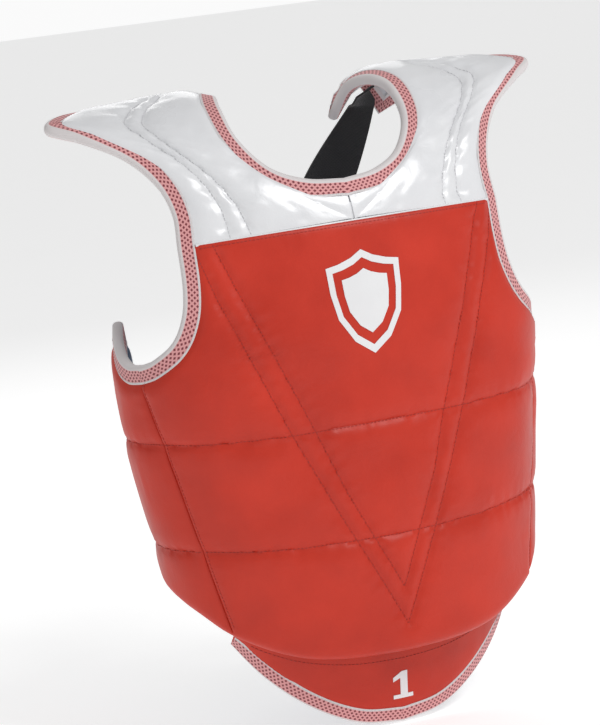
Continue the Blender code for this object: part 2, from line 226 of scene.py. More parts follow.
def yoke_foot(u):
    if u < CENTRE_SEAM_SHARE:
        return neck_edge(0).lerp(trunk(0, yoke_seam_z(0)), u / CENTRE_SEAM_SHARE)
    arc = armhole_edge(1) * (u - CENTRE_SEAM_SHARE) / (1 - CENTRE_SEAM_SHARE)
    return trunk(arc, yoke_seam_z(arc))


def shoulder_sheet(u, v):
    drift = yoke_foot(u) - neck_edge(0).lerp(wing_edge(0), u)
    arch = 120 * MM * 4 * u * (1 - u) * v * (v - FOLD) ** 2
    return neck_edge(v).lerp(wing_edge(v), u) + drift * max(0, 1 - v / FOLD) ** 2 + Vector((0, 0, arch))


print("shoulder tip at", shoulder_sheet(1, 0.55))

# %% [markdown]
# Cloth on a sewn pad shows where the thread holds it down. So every pad is a fine grid laid on the
# middle surface and pushed out along its normals by a height. The grid lines crowd together near the
# borders, where the cloth turns fastest.


# %% Grid lines and sheets
def grid_lines(length, pitch=3 * MM, first=(0.0, 0.5, 1.3, 2.6, 4.5, 7.0)):
    """Shares of a length, close together at both ends and a pitch apart between."""
    start = [d * MM / length for d in first]
    count = max(2, round((1 - 2 * start[-1]) * length / pitch))
    middle = [start[-1] + (1 - 2 * start[-1]) * i / count for i in range(1, count)]
    return np.array(start + middle + [1 - d for d in reversed(start)])


def laid(surface, columns, rows):
    """Points and unit normals of a surface at every crossing of the grid lines."""
    points = np.array([[surface(s, t) for t in rows] for s in columns])
    normals = np.cross(np.gradient(points, axis=0), np.gradient(points, axis=1))
    return points, normals / np.linalg.norm(normals, axis=2, keepdims=True)


def swell(depth, reach):
    """A height that rises from 0 on a border to a full depth, as a quarter round of this reach."""
    return lambda d: depth * np.sqrt(1 - (1 - np.clip(d / reach, 0, 1)) ** 2)


def from_border(edge, full, reach):
    rise = swell(full - edge, reach)
    return lambda d: edge + rise(d)


def nearest_seam(lines, where):
    """For each place on a flat pattern: how far the nearest sewn line is, and how far along it."""
    nearest, run = np.full(where.shape[:2], 1.0), np.zeros(where.shape[:2])
    start = 0.0
    for line in lines:
        for a, b in zip(np.array(line)[:-1], np.array(line)[1:]):
            along = b - a
            length = np.linalg.norm(along)
            share = np.clip(((where - a) @ along) / length**2, 0, 1)
            d = np.linalg.norm(where - a - share[..., None] * along, axis=2)
            run = np.where(d < nearest, start + share * length, run)
            nearest = np.minimum(nearest, d)
            start += length
        start += 0.5
    return nearest, run


def distance_to(lines, where):
    return nearest_seam(lines, where)[0]


def puckers(points, strength, size, seed):
    """Small uneven gathers in the cloth, the same on every run."""
    shift = Vector((seed * 7.3, seed * 3.1, seed * 5.7))
    flat = [noise.noise(Vector(p) / size + shift) for p in points.reshape(-1, 3)]
    return strength * np.array(flat).reshape(points.shape[:2])


def gathers(lines, where, strength, spacing=6 * MM, reach=11 * MM):
    """Short folds that leave a seam at right angles, where the thread has drawn the cloth up."""
    d, run = nearest_seam(lines, where)
    spots = np.stack([run / spacing, d / (26 * MM)], axis=2).reshape(-1, 2)
    folds = np.array([noise.noise(Vector((a, b, 4.7))) for a, b in spots]).reshape(d.shape)
    return strength * folds * np.clip(d / (2 * MM), 0, 1) * np.exp(-((d / reach) ** 2))


# %% [markdown]
# The slab itself comes from two bmesh operators: a grid, and an extrusion of all its faces that turns
# the sheet into a closed body. Each corner of the grid is then sent to its own point.


# %% Closed pads and open sheets
def piece_of(bm, name, *materials):
    """An object that sits at the origin, with its place in its mesh."""
    mesh = bpy.data.meshes.new(name)
    bm.to_mesh(mesh)
    bm.free()
    for material in materials:
        mesh.materials.append(material)
    piece = bpy.data.objects.new(name, mesh)
    bpy.context.scene.collection.objects.link(piece)
    return piece


def finish(bm, name, material, smooth=True):
    bmesh.ops.recalc_face_normals(bm, faces=bm.faces[:])
    if bm.calc_volume(signed=True) < 0:
        bmesh.ops.reverse_faces(bm, faces=bm.faces[:])
    piece = piece_of(bm, name, material)
    if smooth:
        piece.data.shade_smooth()
        piece.data.set_sharp_from_angle(angle=math.radians(55))
    return piece


def corner_of(vertex, columns, rows):
    return round((vertex.co.x + 0.5) * (len(columns) - 1)), round((vertex.co.y + 0.5) * (len(rows) - 1))


def grid_mesh(columns, rows, size):
    """A flat grid with a UV map in metres."""
    bm = bmesh.new()
    bmesh.ops.create_grid(bm, x_segments=len(columns) - 1, y_segments=len(rows) - 1, size=0.5)
    layer = bm.loops.layers.uv.new("UVMap")
    for face in bm.faces:
        for loop in face.loops:
            i, j = corner_of(loop.vert, columns, rows)
            loop[layer].uv = (columns[i] * size[0], rows[j] * size[1])
    return bm


def slab(name, sheet, low, high, columns, rows, size, material):
    """A closed pad between two heights over a sheet of points and normals."""
    points, normals = sheet
    bm = grid_mesh(columns, rows, size)
    made = bmesh.ops.extrude_face_region(bm, geom=bm.faces[:])["geom"]
    raised = {v for v in made if isinstance(v, bmesh.types.BMVert)}
    top, under = points + normals * high[..., None], points + normals * low[..., None]
    for vertex in bm.verts:
        vertex.co = (top if vertex in raised else under)[corner_of(vertex, columns, rows)]
    return finish(bm, name, material)


def both_hands_of(piece, name):
    """A piece for the left and the same mesh turned through the middle plane for the right."""
    piece.name = f"{name}_left"
    bm = bmesh.new()
    bm.from_mesh(piece.data)
    bmesh.ops.scale(bm, vec=(-1, 1, 1), verts=bm.verts[:])
    bmesh.ops.reverse_faces(bm, faces=bm.faces[:])
    return {"left": piece, "right": piece_of(bm, f"{name}_right", *piece.data.materials)}


# %% [markdown]
# ## Finishes
# Coated cloth is a thin skin of polyurethane on a knit. It has a fine pebbled grain, soft creases
# where it bends and a gloss that varies a little. Grain and creases are wanted in several colours, so
# they live in one node group that puts out heights and a mask.


# %% Small helpers for node trees
def feed(tree, socket, value):
    if isinstance(value, bpy.types.NodeSocket):
        tree.links.new(value, socket)
    else:
        socket.default_value = value


def wire(tree, kind, inputs=None, **settings):
    made = tree.nodes.new(kind)
    for key, value in settings.items():
        setattr(made, key, value)
    for key, value in (inputs or {}).items():
        feed(tree, made.inputs[key], value)
    return made


def maths(tree, operation, *values):
    return wire(tree, "ShaderNodeMath", dict(enumerate(values)), operation=operation).outputs[0]


def mix_colours(tree, factor, first, second):
    mix = wire(tree, "ShaderNodeMix", data_type="RGBA")
    for number, value in ((0, factor), (6, first), (7, second)):
        feed(tree, mix.inputs[number], value)
    return mix.outputs[2]


def new_group(name, inputs, outputs):
    tree = bpy.data.node_groups.new(name, "ShaderNodeTree")
    for label, value in inputs.items():
        kind = "NodeSocketVector" if value is None else "NodeSocketFloat"
        socket = tree.interface.new_socket(label, in_out="INPUT", socket_type=kind)
        if value is not None:
            socket.default_value = value
    for label in outputs:
        tree.interface.new_socket(label, in_out="OUTPUT", socket_type="NodeSocketFloat")
    return tree, tree.nodes.new("NodeGroupInput").outputs, tree.nodes.new("NodeGroupOutput").inputs


def use_group(tree, group, inputs):
    return wire(tree, "ShaderNodeGroup", inputs, node_tree=group).outputs


def blank(name):
    material = bpy.data.materials.new(name)
    material.use_nodes = True
    return material, material.node_tree


def dress(material, colour, constants, height=None, strength=0.5, distance=1 * MM):
    """Gives the shader its colour, its bump and its own constants."""
    tree = material.node_tree
    shader = tree.nodes["Principled BSDF"]
    feed(tree, shader.inputs["Base Color"], colour)
    for label, value in constants.items():
        feed(tree, shader.inputs[label], value)
    if height is not None:
        bump = wire(tree, "ShaderNodeBump", {"Height": height, "Strength": strength, "Distance": distance})
        feed(tree, shader.inputs["Normal"], bump.outputs[0])
    return material


def darker(colour, share):
    return tuple(c * share for c in colour[:3]) + (1,)


# %% The coated cloth group
def coated_cloth_group():
    tree, given, out = new_group(
        "coated cloth", {"Vector": None, "Grain Size": 900.0, "Grain": 0.25, "Creases": 0.5}, ("Height", "Mottle")
    )
    vector = given["Vector"]
    pebbles = wire(
        tree, "ShaderNodeTexVoronoi", {"Vector": vector, "Scale": given["Grain Size"]}, feature="SMOOTH_F1"
    )
    pebbles.inputs["Smoothness"].default_value = 0.6
    folds = wire(tree, "ShaderNodeTexNoise", {"Vector": vector, "Scale": 55.0, "Detail": 3.0, "Distortion": 0.8})
    mottle = wire(tree, "ShaderNodeTexNoise", {"Vector": vector, "Scale": 16.0, "Detail": 4.0})
    grain = maths(tree, "MULTIPLY", pebbles.outputs["Distance"], given["Grain"])
    crease = maths(tree, "MULTIPLY", folds.outputs["Fac"], given["Creases"])
    feed(tree, out["Height"], maths(tree, "ADD", grain, crease))
    feed(tree, out["Mottle"], mottle.outputs["Fac"])
    return tree


COATED = coated_cloth_group()


def coated_surface(tree, grain, creases):
    place = wire(tree, "ShaderNodeTexCoord").outputs["Object"]
    return use_group(tree, COATED, {"Vector": place, "Grain Size": 800.0, "Grain": grain, "Creases": creases})


def coated_cloth(name, colour, deep, roughness, coat, grain, creases, specular=0.5):
    material, tree = blank(name)
    cloth = coated_surface(tree, grain, creases)
    span = {"Value": cloth["Mottle"], "From Min": 0.3, "From Max": 0.7}
    tone = wire(tree, "ShaderNodeMapRange", span).outputs[0]
    gloss = wire(tree, "ShaderNodeMapRange", {**span, "To Min": roughness - 0.05, "To Max": roughness + 0.06})
    constants = {
        "Roughness": gloss.outputs[0], "Coat Weight": coat, "Coat Roughness": 0.25,
        "Specular IOR Level": specular,
    }  # fmt: skip
    return dress(material, mix_colours(tree, tone, deep, colour), constants, cloth["Height"], 0.5, 1.2 * MM)


RED = coated_cloth("red coated cloth", (0.59, 0.034, 0.014, 1), (0.48, 0.025, 0.010, 1), 0.43, 0.03, 0.12, 0.6, 0.32)
WHITE = coated_cloth("white coated cloth", (0.79, 0.795, 0.81, 1), (0.73, 0.735, 0.755, 1), 0.30, 0.32, 0.05, 0.8)
BLUE = coated_cloth("blue lining cloth", (0.05, 0.10, 0.20, 1), (0.035, 0.075, 0.16, 1), 0.45, 0.05, 0.10, 0.5)
print("coated cloths:", RED.name, "/", WHITE.name, "/", BLUE.name)

# %% [markdown]
# The binding is a woven tape with plain pale borders and a red field of small dark checks. Its
# pattern follows the tape, so it reads the tape's own UV map: U is the distance along it and V the
# distance across it, both in metres.


# %% The weave and the binding tape's check
def woven_group():
    tree, given, out = new_group("weave", {"Vector": None, "Threads": 1400.0}, ("Height",))
    inputs = {"Vector": given["Vector"], "Scale": given["Threads"]}
    warp, weft = (wire(tree, "ShaderNodeTexWave", inputs, bands_direction=way).outputs["Fac"] for way in "XY")
    feed(tree, out["Height"], maths(tree, "MULTIPLY", warp, weft))
    return tree


WEAVE = woven_group()
TAPE_WIDTH = 34.6 * MM
CHECK_FROM, CHECK_TO, CHECK_PITCH, CHECK_ROW = 2.0 * MM, 12.4 * MM, 4.3 * MM, 2.6 * MM


def binding_tape():
    material, tree = blank("check binding tape")
    uv = wire(tree, "ShaderNodeUVMap").outputs["UV"]
    along, v, _ = wire(tree, "ShaderNodeSeparateXYZ", {0: uv}).outputs

    def off_centre(value, centre):
        return maths(tree, "ABSOLUTE", maths(tree, "SUBTRACT", value, centre))

    across = maths(tree, "SUBTRACT", TAPE_WIDTH / 2, off_centre(v, TAPE_WIDTH / 2))
    row = maths(tree, "DIVIDE", maths(tree, "SUBTRACT", across, CHECK_FROM), CHECK_ROW)
    odd = maths(tree, "MODULO", maths(tree, "FLOOR", row), 2.0)
    step = maths(tree, "ADD", maths(tree, "DIVIDE", along, CHECK_PITCH), maths(tree, "MULTIPLY", odd, 0.5))
    wide = off_centre(maths(tree, "FRACT", step), 0.5)
    tall = off_centre(maths(tree, "FRACT", row), 0.5)
    size = maths(tree, "ADD", maths(tree, "MULTIPLY", wide, 1.5), tall)
    dark = wire(tree, "ShaderNodeMapRange", {"Value": size, "From Min": 0.52, "From Max": 0.42}).outputs[0]
    half, soft = (CHECK_TO - CHECK_FROM) / 2, 0.2 * MM
    span = {"Value": off_centre(across, CHECK_FROM + half), "From Min": half + soft, "From Max": half - soft}
    field = wire(tree, "ShaderNodeMapRange", span).outputs[0]
    check = mix_colours(tree, dark, (0.74, 0.34, 0.34, 1), (0.20, 0.030, 0.040, 1))
    tone = mix_colours(tree, field, (0.70, 0.66, 0.66, 1), check)
    threads = use_group(tree, WEAVE, {"Vector": uv, "Threads": 320.0})["Height"]
    return dress(material, tone, {"Roughness": 0.7, "Sheen Weight": 0.15}, threads, 0.5, 0.3 * MM)


TAPE = binding_tape()
print("tape:", TAPE.name)


# %% Elastic, hook and loop, thread and ink
def elastic(name, colour, ribs):
    material, tree = blank(name)
    uv = wire(tree, "ShaderNodeUVMap").outputs["UV"]
    threads = use_group(tree, WEAVE, {"Vector": uv, "Threads": ribs})["Height"]
    # The colour follows the weave's height: its low places are painted at half the colour, as painted shade between
    # the threads.
    tone = mix_colours(tree, threads, darker(colour, 0.5), colour)
    return dress(material, tone, {"Roughness": 0.75, "Sheen Weight": 0.25}, threads, 0.7, 0.6 * MM)


def grainy(name, colour, low, scale, detail, constants, strength=None):
    """A colour that varies with a fine noise, and a nap of the same noise where it has a strength."""
    material, tree = blank(name)
    place = wire(tree, "ShaderNodeTexCoord").outputs["Object"]
    fuzz = wire(tree, "ShaderNodeTexNoise", {"Vector": place, "Scale": scale, "Detail": detail}).outputs["Fac"]
    tone = mix_colours(tree, fuzz, low, colour)
    return dress(material, tone, constants, fuzz if strength else None, strength)


def print_ink():
    material, tree = blank("white print")
    cloth = coated_surface(tree, 0.08, 0.3)
    tone = mix_colours(tree, cloth["Mottle"], (0.72, 0.72, 0.73, 1), (0.86, 0.86, 0.87, 1))
    return dress(material, tone, {"Roughness": 0.45}, cloth["Height"], 0.3)


def thread_of(name, colour):
    return grainy(name, colour, darker(colour, 0.75), 1500.0, 2.0, {"Roughness": 0.55})


ELASTIC = elastic("black elastic", (0.018, 0.018, 0.021, 1), 260.0)
NAP = {"Roughness": 0.95, "Sheen Weight": 0.4}
LOOP = grainy("hook and loop", (0.02, 0.02, 0.022, 1), (0.008, 0.008, 0.0088, 1), 900.0, 6.0, NAP, 0.8)
RED_THREAD = thread_of("red thread", (0.46, 0.030, 0.018, 1))
WHITE_THREAD = thread_of("white thread", (0.70, 0.70, 0.72, 1))
INK = print_ink()
print("trim finishes:", ELASTIC.name, LOOP.name, INK.name)

# %% [markdown]
# ## The chest pad
# The sewing pattern is drawn flat: two lines close together run down from each end of the yoke seam
# and meet in a V, and two seams cross the whole front. Foam rises between the lines and the cloth is
# drawn in along them.

# %% The quilting pattern
OUTER_V = [(0.0, 0.025), (0.0485, 0.130), (0.079, 0.200), (0.126, 0.323), (0.140, 0.373)]
INNER_V = [(0.0, 0.057), (0.040, 0.147), (0.060, 0.203), (0.109, 0.330), (0.124, 0.373)]
CROSS_LOW = [(0.0, 0.103), (0.08, 0.104), (0.166, 0.108)]
CROSS_HIGH = [(0.0, 0.201), (0.09, 0.201), (0.189, 0.204)]


def both_hands(line):
    return [(-x, z) for x, z in reversed(line[1:])] + list(line)


ARMHOLE_HEIGHTS = (0.2702, 0.271, 0.272, 0.273, 0.274, 0.277, 0.281, 0.286, 0.293, 0.303, 0.32, 0.345, 0.372)
ARMHOLES = [[(sign * armhole_edge(z), z) for z in ARMHOLE_HEIGHTS] for sign in (1, -1)]
YOKE_SEAM = [(x, yoke_seam_z(x)) for x in np.linspace(-0.149, 0.149, 9)]
SIDE_SEAMS = [[(sign * seam_arc(z), z) for z in np.linspace(0.03, 0.27, 7)] for sign in (1, -1)]
CHEST_SEAMS = [YOKE_SEAM] + SIDE_SEAMS
CHEST_LINES = [both_hands(line) for line in (OUTER_V, INNER_V, CROSS_LOW, CROSS_HIGH)]
PAD_HALF = 9.7 * MM
SEAM_HALF = 7.0 * MM
BORDER = 12 * MM
TAPE_EDGE = 3.9 * MM
TAPE_LEG, TAPE_RISE = 12.5 * MM, 1.2 * MM


def under_tape(d, full=PAD_HALF, reach=14 * MM):
    """A bound border: pressed thin as far as the tape's seam, and full again soon after it."""
    beyond = swell(full - TAPE_EDGE - TAPE_RISE, reach)(d - TAPE_LEG)
    return TAPE_EDGE + TAPE_RISE * np.clip(d / TAPE_LEG, 0, 1) + beyond


seam_edge = from_border(SEAM_HALF, PAD_HALF, 9 * MM)
hem_edge = from_border(0.8 * MM, PAD_HALF, 11 * MM)


def quilted(lines, where, depth):
    """How far the cloth lies below the foam's full height, from its distance to the sewn lines."""
    d = distance_to(lines, where)
    return depth * np.exp(-((d / (2.2 * MM)) ** 2)) + depth * 0.9 * np.exp(-((d / (9 * MM)) ** 2)), d


# %% Laying the chest
CHEST_SIZE = (0.36, 0.37)
chest_columns = grid_lines(CHEST_SIZE[0])
chest_rows = grid_lines(YOKE_SEAM_Z)
chest_sheet = laid(lambda s, t: trunk(*front_pattern(s, t)), chest_columns, chest_rows)
chest_flat = np.array([[front_pattern(s, t) for t in chest_rows] for s in chest_columns])


def chest_height(lines, depth, gather):
    s, t = np.meshgrid(chest_columns, chest_rows, indexing="ij")
    reach = np.abs(chest_flat[[0], :, 0])
    to_side = np.minimum(s, 1 - s) * 2 * reach
    armhole = chest_flat[..., 1] > ARMHOLE_Z
    to_armhole = distance_to(ARMHOLES, chest_flat)
    height = np.where(armhole, PAD_HALF, seam_edge(to_side))
    height = np.minimum(height, under_tape(to_armhole))
    height = np.minimum(height, seam_edge((1 - t) * YOKE_SEAM_Z))
    height = np.minimum(height, hem_edge(t * YOKE_SEAM_Z))
    sunk, d = quilted(lines, chest_flat, depth)
    near = np.exp(-d / (14 * MM))
    loose = puckers(chest_sheet[0], gather * 2.8, 42 * MM, 1)
    loose = loose + puckers(chest_sheet[0], gather * 0.8, 9 * MM, 2) * near
    loose = loose + gathers(lines + CHEST_SEAMS, chest_flat, gather * 2.4)
    inside = np.minimum(np.where(armhole, 1.0, to_side + 3 * MM), to_armhole - TAPE_LEG)
    border = np.clip(np.minimum(inside, np.minimum(t, 1 - t) * YOKE_SEAM_Z) / BORDER, 0, 1)
    return height - (sunk - loose) * border


print("chest grid", chest_sheet[0].shape[:2])

# %% [markdown]
# A cloth simulation gives the covers the slack fullness that a formula lacks. The sheet is held by
# its seams and borders, and a little pressure from below fills the fields between them. The rise is
# capped, so a field never balloons.


# %% Filling a sewn sheet
def filled(points, normals, held, columns, rows, size, cap, pressure=3.0):
    """How far each place on a sheet rises when it is blown up while the held places stay down."""
    bm = grid_mesh(columns, rows, size)
    index = [corner_of(v, columns, rows) for v in bm.verts]
    for vertex, (i, j) in zip(bm.verts, index):
        vertex.co = points[i, j]
    sheet = finish(bm, "sheet_being_filled", RED)
    group = sheet.vertex_groups.new(name="held")
    for n, (i, j) in enumerate(index):
        group.add([n], float(held[i, j]), "REPLACE")
    outward = Vector(normals[len(columns) // 2, len(rows) // 2])
    if sheet.data.polygons[len(sheet.data.polygons) // 2].normal.dot(outward) < 0:
        sheet.data.flip_normals()
    cloth = sheet.modifiers.new("Cloth", "CLOTH")
    cloth.settings.vertex_group_mass = "held"
    cloth.settings.pin_stiffness = 1.0
    cloth.settings.quality = 5
    cloth.settings.tension_stiffness = cloth.settings.compression_stiffness = 8.0
    cloth.settings.bending_stiffness = 0.4
    cloth.settings.effector_weights.gravity = 0.0
    cloth.settings.use_pressure = True
    cloth.settings.uniform_pressure_force = pressure
    cloth.point_cache.frame_start, cloth.point_cache.frame_end = 1, 20
    for frame_number in range(1, 21):
        bpy.context.scene.frame_set(frame_number)
    grown = sheet.evaluated_get(bpy.context.evaluated_depsgraph_get()).to_mesh()
    moved = np.empty(len(grown.vertices) * 3)
    grown.vertices.foreach_get("co", moved)
    rise = np.zeros(points.shape[:2])
    for (i, j), where in zip(index, moved.reshape(-1, 3)):
        rise[i, j] = (where - points[i, j]) @ normals[i, j]
    bpy.context.scene.frame_set(1)
    bpy.data.objects.remove(sheet, do_unlink=True)
    print("filled: rises", round(rise.max() / MM, 1), "mm at most")
    return cap * np.tanh(np.maximum(rise, 0) / cap)


# %% A cover and a lining on one sheet
CORE = 0.15 * MM
HANDS = (("left", 1), ("right", -1))


def held_near(d):
    return np.clip(1.6 - d / (3.5 * MM), 0, 1)


def pad_pair(name, sheet, outer, inner, held, grid, size, cap, cover_finish, lining_finish):
    """A cover blown up between its seams, and a lining on the other side of the middle surface."""
    points, normals = sheet
    outer = outer + filled(points + normals * outer[..., None], normals, held, *grid, size, cap)
    core = np.full(outer.shape, CORE)
    cover = slab(f"{name}_cover", sheet, core, outer, *grid, size, cover_finish)
    return cover, slab(f"{name}_lining", sheet, -inner, -core, *grid, size, lining_finish)


def hang(piece, body, start, end, slot, *nodes, fill=None):
    """Bakes a piece's place into its mesh and hides the frame's parts that it stands for."""
    tuple(start)
    tuple(end)
    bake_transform(piece)
    if nodes:
        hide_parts(*nodes)


def hang_pair(piece, name, bend, slot, *nodes, fill=None):
    """The left piece and its mirrored twin, each baked in place, with the frame's parts of its own side hidden."""
    body, start, end = bend
    pair = both_hands_of(piece, name)
    for side, sign in HANDS:
        ends = [(sign * x, y, z) for x, y, z in (start, end)]
        hang(pair[side], f"{body}_{side}", *ends, slot, *(f"{node}_{side}" for node in nodes), fill=fill)
    return pair["left"]


# %% The red front and its lining
def chest_held():
    s, t = np.meshgrid(chest_columns, chest_rows, indexing="ij")
    to_side = np.minimum(s, 1 - s) * 2 * np.abs(chest_flat[[0], :, 0])
    border = np.minimum(to_side, np.minimum(t, 1 - t) * YOKE_SEAM_Z)
    border = np.minimum(border, distance_to(ARMHOLES, chest_flat) - TAPE_LEG)
    return held_near(np.minimum(distance_to(CHEST_LINES, chest_flat), border))


chest_cover, chest_lining = pad_pair(
    "chest", chest_sheet, chest_height(CHEST_LINES, 2.1 * MM, 0.5 * MM),
    chest_height(CHEST_LINES, 1.3 * MM, 0.5 * MM) - 0.6 * MM, chest_held(), (chest_columns, chest_rows),
    CHEST_SIZE, 2.2 * MM, RED, BLUE,
)  # fmt: skip
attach(chest_cover, "chest")
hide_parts("front_cover", "chest_foam")
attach(chest_lining, "chest")
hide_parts("lining")
print("chest:", len(chest_cover.data.polygons), "faces")

# %% [markdown]
# ## Side panels
# Each side panel carries on from the side seam round the ribs.

# %% Side pads
SIDE_WIDE, SIDE_TALL = 0.11, 0.2
side_columns, side_rows = grid_lines(SIDE_WIDE), grid_lines(SIDE_TALL)
side_sheet = laid(lambda s, t: trunk(*side_pattern(s, t)), side_columns, side_rows)
side_flat = np.array([[side_pattern(s, t) for t in side_rows] for s in side_columns])
SIDE_LINES = [[(0.166, 0.108), (0.30, 0.112)], [(0.189, 0.204), (0.30, 0.206)]]
SEAM_MIDDLE = (SEAM_FOOT + SEAM_HEAD) / 2
SEAM_AWAY = Vector((0.35, 0.93, -0.17))
SIDE_BEND = ("side", SEAM_MIDDLE, SEAM_MIDDLE + SEAM_AWAY * 26 * MM)


def side_height(depth):
    s, t = np.meshgrid(side_columns, side_rows, indexing="ij")
    from_seam, from_hem = s * SIDE_WIDE, t * SIDE_TALL
    to_tape = np.minimum(SIDE_WIDE - from_seam, SIDE_TALL - from_hem)
    height = np.minimum(seam_edge(from_seam), under_tape(to_tape))
    height = np.minimum(height, hem_edge(from_hem))
    sunk, d = quilted(SIDE_LINES, side_flat, depth)
    inside = np.minimum(np.minimum(to_tape - TAPE_LEG, from_hem), from_seam + 3 * MM)
    border = np.clip(inside / BORDER, 0, 1)
    loose = puckers(side_sheet[0], 0.9 * MM, 30 * MM, 5) + gathers(SIDE_LINES + SIDE_SEAMS[:1], side_flat, 1.2 * MM)
    return height - (sunk - loose) * border, np.minimum(d, to_tape - TAPE_LEG)


outer, d = side_height(2.1 * MM)
held = held_near(d)
held[:2], held[-2:], held[:, :2], held[:, -2:] = 1, 1, 1, 1
side_cover, side_lining = pad_pair(
    "ribs", side_sheet, outer, side_height(1.3 * MM)[0] - 0.6 * MM, held, (side_columns, side_rows),
    (SIDE_WIDE, SIDE_TALL), 2.2 * MM, RED, BLUE,
)  # fmt: skip
hang_pair(side_cover, "ribs_cover", SIDE_BEND, "red_cover", "side_cover", "side_foam", fill=0.5)
hang_pair(side_lining, "ribs_lining", SIDE_BEND, "blue_lining", "side_lining", fill=0.3)
print("sides:", side_cover.name, side_lining.name)

# %% [markdown]
# ## Yokes and shoulders
# White cloth covers each yoke and runs on over the shoulder. Two lines of stitching climb it and
# leave a soft channel between two puffed fields.

# %% The white shoulder pads
SHOULDER_HALF = 7.6 * MM
WHITE_WIDE, WHITE_TALL = 0.13, 0.25
yoke_columns, yoke_rows = grid_lines(WHITE_WIDE, pitch=2.6 * MM), grid_lines(WHITE_TALL, pitch=2.9 * MM)
white_sheet = laid(shoulder_sheet, yoke_columns, yoke_rows)
yoke_width = np.linalg.norm(np.diff(white_sheet[0], axis=0), axis=2).sum(axis=0)


def on_white_pattern(line):
    return [(u * WHITE_WIDE, v * WHITE_TALL) for u, v in line]


white_flat = np.array([on_white_pattern([(u, v) for v in yoke_rows]) for u in yoke_columns])
CHANNEL_IN = [(0.66, 0.0), (0.62, 0.15), (0.54, 0.35), (0.46, 0.55), (0.42, 0.75), (0.42, 0.95)]
CHANNEL_OUT = [(0.76, 0.0), (0.72, 0.15), (0.64, 0.35), (0.56, 0.55), (0.52, 0.75), (0.52, 0.95)]
WHITE_LINES = [on_white_pattern(line) for line in (CHANNEL_IN, CHANNEL_OUT)]
WHITE_SEAMS = [[(0.0, 0.0), (WHITE_WIDE, 0.0)], [(0.0, 0.0), (0.0, WHITE_TALL)]]


def white_height(depth, gather):
    u, v = np.meshgrid(yoke_columns, yoke_rows, indexing="ij")
    foot = from_border(SEAM_HALF, SHOULDER_HALF, 8 * MM)
    to_tape = np.minimum(np.minimum(u, 1 - u) * yoke_width[None, :], (1 - v) * WHITE_TALL)
    height = np.minimum(under_tape(to_tape, SHOULDER_HALF, 12 * MM), foot(v * WHITE_TALL))
    centre = np.clip(1 - u / CENTRE_SEAM_SHARE, 0, 1) * np.clip(1 - v / 0.02, 0, 1)
    height = height * (1 - centre) + np.minimum(height, 5.5 * MM) * centre
    sunk, d = quilted(WHITE_LINES, white_flat, depth)
    border = np.clip((to_tape - TAPE_LEG) / BORDER, 0, 1)
    loose = puckers(white_sheet[0], gather * 1.4, 34 * MM, 8) + puckers(white_sheet[0], gather * 0.6, 12 * MM, 9)
    loose = loose + gathers(WHITE_LINES + WHITE_SEAMS, white_flat, gather * 1.6, spacing=9 * MM, reach=20 * MM)
    return height - (sunk - loose) * border * np.clip(v / 0.03, 0, 1), np.minimum(d, to_tape - TAPE_LEG)


outer, d = white_height(2.0 * MM, 0.9 * MM)
held = held_near(d)
held[:3], held[-3:], held[:, :2], held[:, -3:] = 1, 1, 1, 1
white_cover, white_lining = pad_pair(
    "white", white_sheet, outer, white_height(1.2 * MM, 0.7 * MM)[0], held, (yoke_columns, yoke_rows),
    (WHITE_WIDE, WHITE_TALL), 3.0 * MM, WHITE, WHITE,
)  # fmt: skip
FOLD_MIDDLE = (shoulder_sheet(0, FOLD) + shoulder_sheet(1, FOLD)) / 2
FOLD_AWAY = Vector((-0.25, 0.95, 0.18)) * 18 * MM
SHOULDER_BEND = ("shoulder", FOLD_MIDDLE - FOLD_AWAY, FOLD_MIDDLE + FOLD_AWAY)
WHITE_NODES = ("yoke", "yoke_foam", "shoulder_cover", "shoulder_foam")
hang_pair(white_cover, "white_cover", SHOULDER_BEND, "white_cover", *WHITE_NODES, fill=0.6)
hang_pair(white_lining, "white_lining", SHOULDER_BEND, "white_cover", "yoke_lining", "shoulder_lining", fill=0.3)
print("shoulders:", len(white_cover.data.polygons), "faces each")

# %% [markdown]
# ## The abdomen flap
# A thinner pad hangs from a curved seam behind the hem of the chest. It is bound along its lower edge.
# When it is lifted, its upper edge stays sewn and its lower part swings.

# %% The flap
FLAP_SIZE = (0.27, 0.07)
FLAP_BEND = ("flap", (0, -0.066, 0.010), (0, -0.066, -0.018))
FLAP_EDGE, FLAP_RISE = 2.9 * MM, 0.9 * MM
flap_columns, flap_rows = grid_lines(FLAP_SIZE[0]), grid_lines(FLAP_SIZE[1])
flap_sheet = laid(flap_surface, flap_columns, flap_rows)
flap_tall = np.linalg.norm(np.diff(flap_sheet[0], axis=1), axis=2).sum(axis=1)
flap_inside = flap_rows[None, :] * flap_tall[:, None] - BORDER
flap_height = FLAP_EDGE + FLAP_RISE * np.clip(flap_inside / BORDER + 1, 0, 1) + swell(1.1 * MM, 9 * MM)(flap_inside)
flap_height += puckers(flap_sheet[0], 0.5 * MM, 18 * MM, 12) * np.clip(flap_inside / (10 * MM), 0, 1)
core = np.full(flap_height.shape, CORE)
flap_cover = slab("abdomen_cover", flap_sheet, core, flap_height, flap_columns, flap_rows, FLAP_SIZE, RED)
flap_lining = slab("abdomen_lining", flap_sheet, -flap_height, -core, flap_columns, flap_rows, FLAP_SIZE, BLUE)
hang(flap_cover, *FLAP_BEND, "red_cover", "flap_cover", "flap_foam", fill=0.4)
hang(flap_lining, *FLAP_BEND, "blue_lining", "flap_lining", fill=0.4)


def flap_seam(s, t):
    arc = (2 * s - 1) * 140 * MM
    hem = trunk(arc, bottom_edge(abs(arc)) + 2.5 * MM)
    return hem.lerp(flap_surface(s, 0.97), t)


